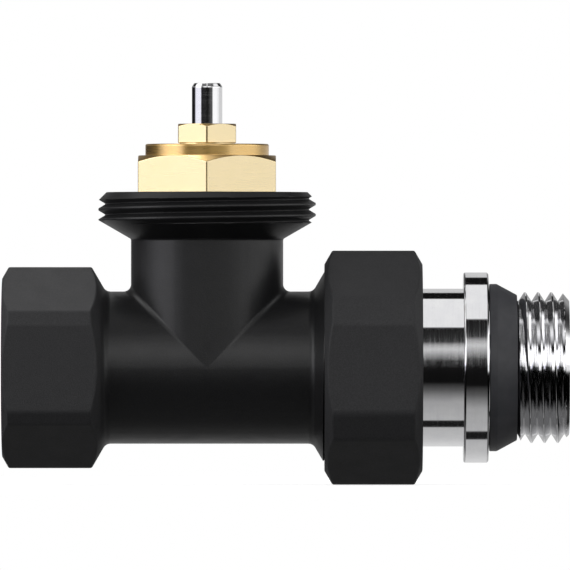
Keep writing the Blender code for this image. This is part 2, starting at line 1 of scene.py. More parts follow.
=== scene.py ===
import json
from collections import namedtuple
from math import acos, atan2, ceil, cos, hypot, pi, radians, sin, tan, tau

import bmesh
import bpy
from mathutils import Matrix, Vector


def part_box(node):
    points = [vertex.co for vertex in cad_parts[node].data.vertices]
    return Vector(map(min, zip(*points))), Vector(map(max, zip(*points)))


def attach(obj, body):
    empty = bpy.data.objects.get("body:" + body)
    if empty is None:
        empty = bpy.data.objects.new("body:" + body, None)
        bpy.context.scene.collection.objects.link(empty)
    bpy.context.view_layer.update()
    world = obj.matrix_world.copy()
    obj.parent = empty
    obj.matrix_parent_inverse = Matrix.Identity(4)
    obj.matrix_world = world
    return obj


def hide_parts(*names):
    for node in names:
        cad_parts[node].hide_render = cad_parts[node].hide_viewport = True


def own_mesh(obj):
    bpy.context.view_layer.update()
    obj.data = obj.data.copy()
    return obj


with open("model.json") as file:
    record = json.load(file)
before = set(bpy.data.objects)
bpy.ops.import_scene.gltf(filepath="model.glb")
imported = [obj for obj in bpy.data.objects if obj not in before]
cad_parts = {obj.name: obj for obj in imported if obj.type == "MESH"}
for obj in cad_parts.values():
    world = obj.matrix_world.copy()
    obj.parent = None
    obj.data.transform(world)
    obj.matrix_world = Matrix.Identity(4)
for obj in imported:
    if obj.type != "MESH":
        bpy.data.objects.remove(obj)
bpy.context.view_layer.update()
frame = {"record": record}

# Looks of a straight thermostatic radiator valve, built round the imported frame.
#
# Lengths are in millimetres until a mesh is made. Most pieces are columns of points round an axis. A
# column is the piece's outline at one angle, a list of (along, radius) points. Round the flow axis,
# along is X and the angle runs from +Z towards +Y. Round the stem, along is Z and the angle runs from
# +X towards +Y.

MM = 0.001
# Points of a mesh that are closer than this become one.
WELD = 2e-4 * MM
X, Z = 0, 2


def low(node, axis):
    """Where the node's CAD box starts along the axis."""
    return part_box(node)[0][axis] / MM


def high(node, axis):
    """Where the node's CAD box ends along the axis."""
    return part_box(node)[1][axis] / MM


# Places along the flow axis.
STEM_X = (low("pressure_pin", X) + high("pressure_pin", X)) / 2
BODY_END = high("valve_body", X)
NUT_START = low("union_nut", X)
NUT_END = high("union_nut", X)
NOSE_START = low("tailpiece", X)
TAIL_END = high("tailpiece", X)
SEAL_START = low("seal_ring", X)
SEAL_END = high("seal_ring", X)
FLANGE_START = 63.59
FLANGE_END = 67.02

# Heights on the stem axis.
HEAD_TOP = high("valve_body", Z)
HEX_TOP = 29.26
COLLAR_TOP = high("insert_housing", Z)
GLAND_TOP = high("gland_nut", Z)
PIN_TOP = high("pressure_pin", Z)
HOUSING_END = low("insert_housing", Z)
SEAT_Z = 2.0
CHAMBER_FLOOR = 1.5
DECK_HALF = 1.3

# Radii, and the gap round a stem that slides in a bore.
PIPE_R = 10.5
PIPE_BORE_R = 8.2
PASSAGE_R = 8.0
CHAMBER_R = 7.8
SEAT_R = 4.75
INSERT_BORE_R = 9.15
NOSE_BORE_R = 9.05
TAIL_R = 10.88
PIN_R = 2.1
SPINDLE_R = 1.9
DISC_BORE_R = 1.65
SLIDING_GAP = 0.15
CROTCH_R = 1.0
FOOT_R = 1.1

# Widths of the hexagons across flats, and how far out their corners are cut flat.
INLET_FLATS, INLET_CORNER = 25.0, 13.86
NUT_FLATS, NUT_CORNER = 30.0, 16.13
INSERT_FLATS = 19.0
GLAND_FLATS = 8.0
DISC_NUT_FLATS = 5.0
KEY_FLATS = 13.0

# Slopes of the cones and chamfers.
STEEP = tan(radians(60))
SHALLOW = tan(radians(30))

# How far to turn a hexagon round the stem for two of its corners to lie on Y.
CORNER_ON_Y = radians(30)

# How many columns a turned piece has.
LATHE = 120

# crest is the width of a crest's flat, and softness rounds its edges. crest_at is where the middle of a
# crest lies at angle 0. hand is 1 if the thread climbs with the angle. inward is for a tapped hole.
Thread = namedtuple("Thread", "pitch root_r depth crest softness crest_at hand inward")
HEAD_THREAD = Thread(1.5, 14.08, 0.92, 0.28, 0.14, 21.06, 1, False)
UNION_THREAD = Thread(1.814, 12.06, 1.16, 0.30, 0.1, 44.85, -1, False)
NUT_THREAD = Thread(1.814, 13.47, 1.16, 0.26, 0.1, 45.757, -1, True)
TAIL_THREAD = Thread(1.814, 9.24, 1.16, 0.22, 0.03, 72.08, -1, False)
INLET_THREAD = Thread(1.814, 10.48, 1.16, 0.26, 0.1, 1.2, -1, True)

# The longest edge in a thread's outline, and the shape of its root.
THREAD_GRAIN = 0.12
ROOT_ROUNDING = 0.14
ROOT_FLAT = 0.06


# ---------------------------------------------------------------- outlines


def unit(x, y):
    """The direction (x, y) at length 1."""
    length = hypot(x, y) or 1.0
    return x / length, y / length


def rounded(corners, steps=4, ease=0.06):
    """The (along, radius, rounding) corners as points, each rounded corner an arc of steps edges.

    A point ease away on either side of an arc keeps the shading of the straight stretches straight. The
    arc and its ease take up at most half of the shorter edge at their corner.
    """
    points = []
    for i, (x, y, rounding) in enumerate(corners):
        if not rounding:
            points.append((x, y))
            continue
        before, after = corners[i - 1], corners[i + 1]
        ax, ay = unit(before[0] - x, before[1] - y)
        bx, by = unit(after[0] - x, after[1] - y)
        half = acos(max(-1.0, min(1.0, ax * bx + ay * by))) / 2
        nearest = min(hypot(before[0] - x, before[1] - y), hypot(after[0] - x, after[1] - y))
        reach = min(rounding / tan(half), 0.48 * nearest)
        eased = reach + min(ease, 0.02 * nearest)
        radius = reach * tan(half)
        mx, my = unit(ax + bx, ay + by)
        cx, cy = x + mx * radius / sin(half), y + my * radius / sin(half)
        first = atan2(y + ay * reach - cy, x + ax * reach - cx)
        last = atan2(y + by * reach - cy, x + bx * reach - cx)
        sweep = (last - first + pi) % tau - pi
        arc = [first + sweep * step / steps for step in range(steps + 1)]
        points.append((x + ax * eased, y + ay * eased))
        points += [(cx + radius * cos(angle), cy + radius * sin(angle)) for angle in arc]
        points.append((x + bx * eased, y + by * eased))
    return points


def densified(points, grain):
    """The same points, with more between any two that are further apart than grain."""
    dense = [points[0]]
    for (ax, ay), (bx, by) in zip(points, points[1:]):
        count = max(1, ceil(hypot(bx - ax, by - ay) / grain))
        dense += [(ax + (bx - ax) * i / count, ay + (by - ay) * i / count) for i in range(1, count + 1)]
    return dense


def hexagon(across_flats, corner=None, rounding=0.3, turn=0.0, grain=0.8):
    """Section of a hexagon bar as sorted (angle, radius) points. Unturned, a corner is at angle 0.

    corner is how far out the corners are cut flat.
    """
    sides = []
    for k in range(6):
        if corner:
            sides.append((turn + radians(60 * k), corner))
        sides.append((turn + radians(60 * k + 30), across_flats / 2))
    corners = []
    for (a, p), (b, q) in zip(sides, sides[1:] + sides[:1]):
        spread = sin(b - a)
        corners.append(((p * sin(b) - q * sin(a)) / spread, (q * cos(a) - p * cos(b)) / spread, rounding))
    first, last = (*corners[0][:2], 0), (*corners[-1][:2], 0)
    ring = rounded([last, *corners, first])[1:-1]
    outline = densified([*ring, ring[0]], grain)
    section = {round(atan2(y, x) % tau, 6): hypot(x, y) for x, y in outline}
    for angle, distance in sides:
        section[round(angle % tau, 6)] = distance
    return sorted(section.items())


def circle(count=LATHE):
    """Section of a plain turned piece, whose radii come from its outline alone."""
    return [(tau * k / count, 0.0) for k in range(count)]


def open_circle(gap_at, half_gap, count):
    """Section of a plain turned piece that is cut open at one angle."""
    start, sweep = gap_at + half_gap, tau - 2 * half_gap
    return [(start + sweep * k / count, 0.0) for k in range(count + 1)]


def thread_shape(thread):
    """One pitch of the thread, from the middle of a crest to the next, as (along, height) points."""
    half, crest = thread.pitch / 2, thread.crest / 2
    corners = [
        (-half, thread.depth, 0),
        (-half + crest, thread.depth, thread.softness),
        (-ROOT_FLAT, 0, ROOT_ROUNDING),
        (ROOT_FLAT, 0, ROOT_ROUNDING),
        (half - crest, thread.depth, thread.softness),
        (half, thread.depth, 0),
    ]
    return densified(rounded(corners, 2, 0), THREAD_GRAIN)


Rows = namedtuple("Rows", "points shift")


def thread_rows(thread, start, end, angle, bound, fade_in=None, fade_out=None):
    """Points of a thread at one angle from start to end, kept inside the bound(along) radius.

    fade_in and fade_out are where the groove starts and stops, if it doesn't run out at the ends.
    """
    shape = thread_shape(thread)[:-1]
    pitch = thread.pitch
    run_out = pitch / 4
    turns = ceil((end - start) / pitch) + 3
    first_root = thread.crest_at + pitch / 2
    origin = first_root - pitch * ceil((first_root - start) / pitch + 1.6)
    lag = angle / tau if thread.hand > 0 else 1 - angle / tau
    points = []
    for turn in range(turns + 1):
        root_at = origin + pitch * (turn + lag)
        cut = 1.0
        if fade_in is not None:
            cut = min(cut, max(0.0, (root_at - fade_in) / run_out))
        if fade_out is not None:
            cut = min(cut, max(0.0, (fade_out - root_at) / run_out))
        for offset, height in shape:
            along = min(end, max(start, root_at + offset))
            rise = thread.depth - cut * (thread.depth - height)
            if thread.inward:
                radius = max(thread.root_r - rise, bound(along))
            else:
                radius = min(thread.root_r + rise, bound(along))
            points.append((along, radius))
    return Rows(points, thread.hand * len(shape))


# ---------------------------------------------------------------- meshes


def round_flow(angle, along, radius):
    """The place of an outline's point at an angle round the flow axis."""
    return along, radius * sin(angle), radius * cos(angle)


def round_stem(angle, along, radius):
    """The place of an outline's point at an angle round the stem axis."""
    return STEM_X + radius * cos(angle), radius * sin(angle), along


def thread_link(start, count, shift):
    """Which row of a thread's first column goes on from a row of its last one."""
    end = start + count - 1

    def link(row):
        return min(end, max(start, row + shift)) if start <= row <= end else row

    return link


class Skin:
    """Grids of points that are welded into one closed mesh."""

    def __init__(self):
        self.points = []
        self.faces = []

    def grid(self, columns, link=None, wrap=True):
        """Faces between neighbouring columns.

        link says which row of the first column goes on from a row of the last one.
        """
        first = len(self.points)
        rows = len(columns[0])
        for column in columns:
            self.points += column
        count = len(columns)
        for c in range(count if wrap else count - 1):
            here = first + c * rows
            last = c == count - 1
            there = first if last else here + rows
            follow = link if last and link else int
            for r in range(rows - 1):
                self.faces.append([here + r, here + r + 1, there + follow(r + 1), there + follow(r)])

    def turned(self, place, section, outline, closed=False, wrap=True):
        """Columns round an axis. outline(angle, radius) gives a column as points and thread Rows."""
        columns = []
        link = None
        for angle, radius in section:
            column = []
            for item in outline(angle, radius):
                if isinstance(item, Rows):
                    link = thread_link(len(column), len(item.points), item.shift)
                    column += item.points
                else:
                    column.append(item)
            if closed:
                column.append(column[0])
            columns.append([place(angle, *point) for point in column])
        self.grid(columns, link, wrap)
        if not wrap:
            self.cap(columns[0])
            self.cap(columns[-1])
        return self

    def cap(self, points):
        """A fan of faces over a closed loop of points."""
        first = len(self.points)
        middle = sum((Vector(p) for p in points[:-1]), Vector()) / (len(points) - 1)
        self.points += [*points, middle]
        hub = first + len(points)
        for i in range(len(points) - 1):
            self.faces.append([first + i, first + i + 1, hub])

    def made(self, name, material):
        """The grids as one object: welded, cleaned and with its faces turned outwards."""
        mesh = bpy.data.meshes.new(name)
        bm = bmesh.new()
        verts = [bm.verts.new(Vector(point) * MM) for point in self.points]
        for face in self.faces:
            corners = [corner for i, corner in enumerate(face) if corner != face[i - 1]]
            if len(corners) > 2:
                bm.faces.new([verts[corner] for corner in corners])
        bmesh.ops.remove_doubles(bm, verts=bm.verts, dist=WELD)
        bmesh.ops.dissolve_degenerate(bm, edges=bm.edges, dist=WELD)
        bmesh.ops.delete(bm, geom=[v for v in bm.verts if not v.link_faces], context="VERTS")
        bmesh.ops.recalc_face_normals(bm, faces=bm.faces)
        bm.to_mesh(mesh)
        bm.free()
        mesh.materials.append(material)
        obj = bpy.data.objects.new(name, mesh)
        bpy.context.scene.collection.objects.link(obj)
        return obj


# ---------------------------------------------------------------- materials


class Nodes:
    """A node tree, with a short way to add to it."""

    def __init__(self, tree):
        self.tree = tree

    def add(self, kind, inputs, **settings):
        """A node of that kind. Each input is a value or another node's output."""
        node = self.tree.nodes.new(kind)
        for name, value in settings.items():
            setattr(node, name, value)
        for name, value in inputs.items():
            self.put(value, node.inputs[name])
        return node

    def put(self, value, socket):
        """Links another node's output to the socket, or sets the socket's own value."""
        if isinstance(value, bpy.types.NodeSocket):
            self.tree.links.new(value, socket)
        else:
            socket.default_value = value

    def maths(self, operation, first, second=0.0):
        """The output of a Math node."""
        return self.add("ShaderNodeMath", {0: first, 1: second}, operation=operation).outputs[0]

    def blend(self, factor, first, second):
        """first where factor is 0, going over to second where it is 1."""
        node = self.add("ShaderNodeMix", {0: factor, 2: first, 3: second}, data_type="FLOAT")
        return node.outputs[0]

    def span(self, value, start, end, first, last):
        """first where value is at start, changing evenly to last where it is at end."""
        inputs = {"Value": value, "From Min": start, "From Max": end, "To Min": first, "To Max": last}
        return self.add("ShaderNodeMapRange", inputs).outputs["Result"]

    def ramp(self, value, stops):
        """value mapped through (position, colour or grey) stops."""
        node = self.add("ShaderNodeValToRGB", {"Fac": value})
        ramp = node.color_ramp
        while len(ramp.elements) < len(stops):
            ramp.elements.new(1.0)
        for element, (position, colour) in zip(ramp.elements, stops):
            element.position = position
            element.color = (colour, colour, colour, 1.0) if isinstance(colour, float) else (*colour, 1.0)
        return node.outputs["Color"]


class Finish(Nodes):
    """A Principled material on object coordinates, which are in metres."""

    def __init__(self, name, metallic=0.0, specular=0.5):
        self.material = bpy.data.materials.new(name)
        self.material.use_nodes = True
        super().__init__(self.material.node_tree)
        self.shader = self.tree.nodes["Principled BSDF"]
        self.shader.inputs["Metallic"].default_value = metallic
        self.shader.inputs["Specular IOR Level"].default_value = specular
        self.place = self.add("ShaderNodeTexCoord", {}).outputs["Object"]

    def noise(self, size, detail=2.0, stretch=(1, 1, 1)):
        """Noise with blotches of that size in millimetres, longer along an axis by its stretch."""
        scale = [1 / (size * MM * s) for s in stretch]
        mapped = self.add("ShaderNodeMapping", {"Vector": self.place, "Scale": scale})
        inputs = {"Vector": mapped.outputs["Vector"], "Scale": 1.0, "Detail": detail}
        return self.add("ShaderNodeTexNoise", inputs).outputs["Fac"]

    def vary(self, socket, noise, lowest, highest):
        """Makes a socket follow a noise between two values or colours."""
        value = self.ramp(noise, [(0.3, lowest), (0.7, highest)])
        self.put(value, self.shader.inputs[socket])

    def bumps(self, *layers):
        """Bumps of (noise, height in millimetres), each on top of the one before."""
        normal = None
        for noise, height in layers:
            inputs = {"Height": noise, "Distance": height * MM, "Strength": 1.0}
            if normal:
                inputs["Normal"] = normal
            normal = self.add("ShaderNodeBump", inputs).outputs["Normal"]
        self.put(normal, self.shader.inputs["Normal"])


def coating(name, flats_end):
    """Matt powder coat on a casting: fine grain over a faint waviness.

    It is duller and a little lighter on the spanner flats, which end at flats_end along X.
    """
    roughness, duller_by, uneven_by = 0.38, 0.24, 0.12
    lighter_by = 1.2
    finish = Finish(name)
    fine, broad = finish.noise(0.16, 3.0), finish.noise(2.5)
    along = finish.add("ShaderNodeSeparateXYZ", {"Vector": finish.place}).outputs["X"]
    flat = finish.span(along, (flats_end - 1) * MM, flats_end * MM, 1.0, 0.0)
    tone = finish.ramp(fine, [(0.3, (0.010, 0.010, 0.0108)), (0.7, (0.018, 0.018, 0.019))])
    lighter = finish.maths("ADD", finish.maths("MULTIPLY", flat, lighter_by), 1.0)
    scaled = finish.add("ShaderNodeVectorMath", {"Vector": tone, "Scale": lighter}, operation="SCALE")
    finish.put(scaled.outputs["Vector"], finish.shader.inputs["Base Color"])
    uneven = finish.maths("MULTIPLY", finish.maths("SUBTRACT", broad, 0.5), uneven_by)
    dull = finish.maths("ADD", finish.maths("MULTIPLY", flat, duller_by), roughness)
    finish.put(finish.maths("ADD", dull, uneven), finish.shader.inputs["Roughness"])
    finish.bumps((broad, 0.02), (fine, 0.014))
    return finish.material


def metal(name, dark, light, roughness, marks, stretch, lacquer=0.0):
    """Machined metal: fine tool marks, long along the stretched axes, and a slightly uneven polish.

    marks are the tool marks' spacing and height in millimetres. Lacquer adds a clear skin that mirrors
    its surroundings without colouring them.
    """
    spacing, height = marks
    lacquer_roughness, lacquer_ior = 0.16, 4.0
    finish = Finish(name, metallic=1.0)
    lines, cloud = finish.noise(spacing, 2.0, stretch), finish.noise(1.8, 3.0)
    finish.vary("Base Color", cloud, dark, light)
    finish.vary("Roughness", lines, roughness, roughness + 0.06)
    finish.bumps((lines, height))
    finish.put(lacquer, finish.shader.inputs["Coat Weight"])
    finish.put(lacquer_roughness, finish.shader.inputs["Coat Roughness"])
    finish.put(lacquer_ior, finish.shader.inputs["Coat IOR"])
    return finish.material


def rubber(name, dark, light, roughness):
    """Moulded rubber: a dull skin with faint blotches and pores."""
    finish = Finish(name, specular=0.4)
    pores, cloud = finish.noise(0.15), finish.noise(1.5, 3.0)
    finish.vary("Base Color", cloud, dark, light)
    finish.vary("Roughness", pores, roughness, roughness + 0.12)
    finish.bumps((pores, 0.006))
    return finish.material


# How much longer than wide tool marks are along X, Y and Z.
ROUND_STEM = (40, 40, 1)
ROUND_FLOW = (1, 40, 40)
ALL_WAYS = (1, 1, 1)

coated_body = coating("body_coat", flats_end=14.3)
coated_nut = coating("nut_coat", flats_end=60.0)
insert_brass = metal(
    "insert_brass", (0.76, 0.53, 0.08), (0.80, 0.56, 0.11), 0.22, (0.12, 0.0006), ROUND_STEM, lacquer=1.0
)
gland_brass = metal(
    "gland_brass", (0.77, 0.54, 0.09), (0.81, 0.57, 0.12), 0.2, (0.10, 0.0005), ROUND_STEM, lacquer=1.0
)
turned_brass = metal(
    "turned_brass", (0.80, 0.50, 0.14), (0.84, 0.54, 0.17), 0.26, (0.12, 0.0005), ROUND_STEM, lacquer=0.25
)
machined_brass = metal(
    "machined_brass", (0.78, 0.46, 0.13), (0.82, 0.50, 0.16), 0.22, (0.12, 0.001), ROUND_STEM
)
polished_steel = metal(
    "polished_steel", (0.83, 0.83, 0.84), (0.88, 0.88, 0.89), 0.04, (0.10, 0.0002), ROUND_STEM
)
spring_wire = metal(
    "spring_wire", (0.50, 0.50, 0.51), (0.60, 0.60, 0.61), 0.22, (0.2, 0.001), ALL_WAYS
)
chrome = metal(
    "chrome_plate", (0.88, 0.88, 0.90), (0.93, 0.93, 0.94), 0.05, (0.12, 0.00008), ROUND_FLOW
)
black_rubber = rubber("black_rubber", (0.018, 0.018, 0.018), (0.030, 0.030, 0.030), 0.6)
port_seal_polymer = rubber("port_seal_polymer", (0.060, 0.061, 0.068), (0.074, 0.075, 0.083), 0.42)


# ---------------------------------------------------------------- pieces


BODY_OF = {
    node: body for body, nodes in frame["record"]["behaviour"]["bodies"].items() for node in nodes
}


def stands_for(obj, node, sharp_angle=38):
    """Shades a piece and puts it in place of its CAD node."""
    obj.data.shade_smooth()
    obj.data.set_sharp_from_angle(angle=radians(sharp_angle))
    weighted = obj.modifiers.new("flat faces stay flat", "WEIGHTED_NORMAL")
    weighted.keep_sharp = True
    weighted.weight = 80
    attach(obj, BODY_OF[node])
    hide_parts(node)
    return obj


def finish_turned_faces(obj, material, hexagon_top):
    """Gives the chamfers on a hexagon's corners, and what stands above it, the finish of lathe work."""
    flattest = cos(radians(60))
    obj.data.materials.append(material)
    for face in obj.data.polygons:
        if face.normal.z > flattest or face.center.z > hexagon_top * MM:
            face.material_index = 1


def turned_piece(name, node, material, place, corners, closed):
    """A lathe-turned piece from its rounded outline, which ends where it starts if it is closed."""
    outline = rounded(corners)
    skin = Skin().turned(place, circle(), lambda angle, radius: outline, closed)
    return stands_for(skin.made(name, material), node)


def open_ring(name, node, place, section, outline):
    """A ring of sprung steel that doesn't close."""
    skin = Skin().turned(place, section, lambda angle, radius: outline, closed=True, wrap=False)
    return stands_for(skin.made(name, spring_wire), node)


def ring_corners(inner_r, outer_r, start, end, rounding=0.12):
    """Outline of a plain ring with softened outer edges."""
    return [
        (start, inner_r, 0),
        (start, outer_r, rounding),
        (end, outer_r, rounding),
        (end, inner_r, 0),
    ]


def groove(start, end, floor_r, outer_r, rounding=0):
    """Corners of a square groove turned into a cylinder of radius outer_r."""
    return [
        (start, outer_r, rounding),
        (start, floor_r, 0),
        (end, floor_r, 0),
        (end, outer_r, rounding),
    ]


def bead(middle, ring_r, section_r, steps=14):
    """Outline of a ring of round section."""
    turns = [tau * i / steps for i in range(steps)]
    return [(middle + section_r * sin(turn), ring_r + section_r * cos(turn)) for turn in turns]


def washer(name, node, material, bore_r, outer_r, rounding=0.12):
    """A flat ring round the stem, as thick as its CAD node."""
    corners = ring_corners(bore_r, outer_r, low(node, Z), high(node, Z), rounding)
    return turned_piece(name, node, material, round_stem, corners, True)


def o_ring(name, node, place, middle, ring_r, section_r):
    """A rubber ring of round section."""
    corners = [(along, radius, 0) for along, radius in bead(middle, ring_r, section_r)]
    return turned_piece(name, node, black_rubber, place, corners, True)


# ---------------------------------------------------------------- the body casting


def half_bore(name, start, end, side):
    """Half of the passage along X, either over the deck, where side is 1, or under it, where it is -1."""
    edge = acos(DECK_HALF / PASSAGE_R)
    steps = 28
    angles = [edge * (2 * i / steps - 1) for i in range(steps + 1)]
    columns = []
    for along in (start, end):
        column = [(along, PASSAGE_R * sin(angle), side * PASSAGE_R * cos(angle)) for angle in angles]
        columns.append([*column, column[0]])
    skin = Skin()
    skin.grid(columns, wrap=False)
    skin.cap(columns[0])
    skin.cap(columns[1])
    return skin.made(name, coated_body)


def cut_out(obj, *cutters):
    """Takes the cutters out of a piece's mesh."""
    for cutter in cutters:
        modifier = obj.modifiers.new(cutter.name, "BOOLEAN")
        modifier.operation = "DIFFERENCE"
        modifier.solver = "EXACT"
        modifier.object = cutter
    bpy.context.view_layer.update()
    graph = bpy.context.evaluated_depsgraph_get()
    mesh = bpy.data.meshes.new_from_object(obj.evaluated_get(graph))
    obj.modifiers.clear()
    obj.data = mesh
    for cutter in cutters:
        bpy.data.objects.remove(cutter)


def crotch_reach(angle):
    """How far from the stem axis the tube gives way to the fillet under the neck."""
    return (PIPE_R + CROTCH_R) * max(0.0, cos(angle))


def crotch(skin, side, angles, steps=6):
    """The fillet between the tube and the neck on one side of the stem. It narrows to nothing at Y."""
    columns = []
    for angle in angles:
        reach = crotch_reach(angle)
        middle = Vector((STEM_X + side * reach, (PIPE_R + CROTCH_R) * sin(angle), reach))
        down = Vector((0, -sin(angle), -cos(angle)))
        inwards = Vector((-side * cos(angle), -sin(angle), 0))
        columns.append([middle + CROTCH_R * down.slerp(inwards, i / steps) for i in range(steps + 1)])
    skin.grid(columns, wrap=False)


def inlet_outline(angle, hex_r):
    """From the tee along the tube, over the hexagon and down the pipe's socket to the end of the bore."""
    face_r, mouth_r = 12.3, 10.75
    shoulder = 12.35
    minor_r = INLET_THREAD.root_r - INLET_THREAD.depth
    thread_start, socket_end, bore_end = 0.2, 14.0, 18.85
    groove_end = socket_end - 1.4

    def mouth(along):
        return mouth_r - along

    outside = [
        (STEM_X - crotch_reach(angle), PIPE_R, 0),
        (shoulder + (INLET_CORNER - PIPE_R) / STEEP, PIPE_R, FOOT_R),
        (shoulder + (INLET_CORNER - hex_r) / STEEP, hex_r, 0.4),
        ((hex_r - face_r) / STEEP, hex_r, 0.3),
        (0, face_r, 0.15),
        (0, mouth_r, 0),
    ]
    return [
        *rounded(outside),
        thread_rows(INLET_THREAD, thread_start, socket_end, angle, mouth, fade_out=groove_end),
        (socket_end + minor_r - PIPE_BORE_R, PIPE_BORE_R),
        (bore_end, PIPE_BORE_R),
        (bore_end, 0),
    ]


def outlet_outline(angle, _):
    """From the tee along the tube, over the union thread and back down the bore."""
    cone_foot = 42.85
    crest_r, end_r = UNION_THREAD.root_r + UNION_THREAD.depth, 12.0
    thread_start, groove_start = 43.7, 44.3
    nose_seat, mouth_edge = 48.0, 0.3
    bore_start = STEM_X + CHAMBER_R + 0.4

    def cone(along):
        return PIPE_R + (along - cone_foot) * STEEP

    def bound(along):
        return min(cone(along), crest_r, end_r + BODY_END - along)

    outside = [
        (STEM_X + crotch_reach(angle), PIPE_R, 0),
        (cone_foot, PIPE_R, FOOT_R),
        (thread_start, cone(thread_start), 0),
    ]
    return [
        *rounded(outside),
        thread_rows(UNION_THREAD, thread_start, BODY_END, angle, bound, fade_in=groove_start),
        (BODY_END, NOSE_BORE_R + mouth_edge),
        (BODY_END - mouth_edge, NOSE_BORE_R),
        (nose_seat, NOSE_BORE_R),
        (nose_seat - (NOSE_BORE_R - PIPE_BORE_R), PIPE_BORE_R),
        (bore_start, PIPE_BORE_R),
        (bore_start, 0),
    ]


def neck_outline(angle, _):
    """From the tee up the neck, over the threaded ring and down the insert's bore to the seat."""
    ring_r, top_r = HEAD_THREAD.root_r + HEAD_THREAD.depth, 13.88
    ring_low = 20.33
    thread_start = 19.7
    pocket_r, pocket_floor, pocket_edge = 11.3, HEAD_TOP - 0.4, 0.1
    seal_end = 14.6
    chamber_top, lip_r = HOUSING_END - 0.9, 5.6
    under_deck = -DECK_HALF - 1

    def cone(height):
        return ring_r - (ring_low - height) * STEEP

    def bound(height):
        return min(cone(height), ring_r, top_r + HEAD_TOP - height)

    outside = [
        ((PIPE_R + CROTCH_R) * abs(cos(angle)), PIPE_R, 0),
        (ring_low - (ring_r - PIPE_R) / STEEP, PIPE_R, 0.35),
        (thread_start, cone(thread_start), 0),
    ]
    return [
        *rounded(outside),
        thread_rows(HEAD_THREAD, thread_start, HEAD_TOP, angle, bound),
        (HEAD_TOP, pocket_r + pocket_edge),
        (HEAD_TOP - pocket_edge, pocket_r),
        (pocket_floor, pocket_r),
        (pocket_floor, INSERT_BORE_R),
        (seal_end + INSERT_BORE_R - PIPE_BORE_R, INSERT_BORE_R),
        (seal_end, PIPE_BORE_R),
        (chamber_top + PIPE_BORE_R - CHAMBER_R, PIPE_BORE_R),
        (chamber_top, CHAMBER_R),
        (CHAMBER_FLOOR, CHAMBER_R),
        (CHAMBER_FLOOR, lip_r),
        (SEAT_Z, lip_r),
        (SEAT_Z, SEAT_R),
        (under_deck, SEAT_R),
        (under_deck, 0),
    ]


def tee_casting():
    """Tube, inlet hexagon, union spigot and neck, with the fillet between them, the bores and the seat."""
    section = hexagon(INLET_FLATS, INLET_CORNER, rounding=1.2)
    # Each column of the tube's upper half ends on a column of the neck, so that the two weld.
    angles = [angle for angle, _ in section]
    slack = 1e-5
    upper = sorted((angle + pi) % tau - pi for angle in angles if cos(angle) > -slack)
    azimuths = {round(angle % tau, 5) for angle in upper} | {round((pi - angle) % tau, 5) for angle in upper}
    skin = Skin()
    skin.turned(round_flow, section, inlet_outline)
    skin.turned(round_flow, section, outlet_outline)
    skin.turned(round_stem, [(azimuth, 0) for azimuth in sorted(azimuths)], neck_outline)
    crotch(skin, -1, upper)
    crotch(skin, 1, upper)
    body = skin.made("coated_body", coated_body)
    passage_start, meeting, passage_end = STEM_X - 10.75, STEM_X + 6.0, STEM_X + 9.0
    cut_out(
        body,
        half_bore("inlet_passage", passage_start, meeting, -1),
        half_bore("outlet_passage", meeting, passage_end, 1),
    )
    return stands_for(body, "valve_body")


# ---------------------------------------------------------------- the insert


def insert():
    """Brass hexagon and collar over the barrel that screws into the body."""
    low_z, top_r = HEAD_TOP - 0.1, 9.4
    collar_r = 8.52
    seal_groove = 12.3, 14.2, 6.9
    barrel_r, thread_r, thread_low = 7.95, 9.0, 15.9
    spring_bore_r, gland_bore_r = 6.0, 4.05
    spring_roof = 26.4

    def outline(angle, hex_r):
        return rounded(
            [
                (HOUSING_END, spring_bore_r, 0),
                (HOUSING_END, barrel_r, 0.15),
                *groove(*seal_groove, barrel_r),
                (thread_low - 0.8, barrel_r, 0),
                (thread_low, thread_r, 0),
                (low_z, thread_r, 0),
                (low_z, hex_r, 0.12),
                (HEX_TOP - (hex_r - top_r) * SHALLOW, hex_r, 0.12),
                (HEX_TOP, top_r, 0.05),
                (HEX_TOP, collar_r, 0.05),
                (COLLAR_TOP, collar_r, 0.25),
                (COLLAR_TOP, gland_bore_r, 0),
                (spring_roof, gland_bore_r, 0),
                (spring_roof, spring_bore_r, 0),
            ]
        )

    section = hexagon(INSERT_FLATS, rounding=0.25, turn=CORNER_ON_Y, grain=0.5)
    skin = Skin().turned(round_stem, section, outline, closed=True)
    piece = skin.made("brass_insert", insert_brass)
    finish_turned_faces(piece, turned_brass, HEX_TOP)
    return stands_for(piece, "insert_housing")


def gland():
    """Small brass hexagon round the pin, with its shank and the seal's recess."""
    low_z, shank_low, seal_roof = COLLAR_TOP + 0.15, 26.6, 29.6
    shank_r, seal_r, bore_r = 3.85, 3.1, PIN_R + SLIDING_GAP
    top_r, bore_edge = 3.95, 0.15

    def outline(angle, hex_r):
        return rounded(
            [
                (shank_low, seal_r, 0),
                (shank_low, shank_r, 0.2),
                (low_z, shank_r, 0),
                (low_z, hex_r, 0.08),
                (GLAND_TOP - (hex_r - top_r) * SHALLOW, hex_r, 0.08),
                (GLAND_TOP, top_r, 0.05),
                (GLAND_TOP, bore_r + bore_edge, 0),
                (GLAND_TOP - bore_edge, bore_r, 0),
                (seal_roof, bore_r, 0),
                (seal_roof, seal_r, 0),
            ]
        )

    section = hexagon(GLAND_FLATS, rounding=0.32, turn=CORNER_ON_Y, grain=0.25)
    skin = Skin().turned(round_stem, section, outline, closed=True)
    piece = skin.made("brass_gland", gland_brass)
    finish_turned_faces(piece, turned_brass, GLAND_TOP)
    return stands_for(piece, "gland_nut")


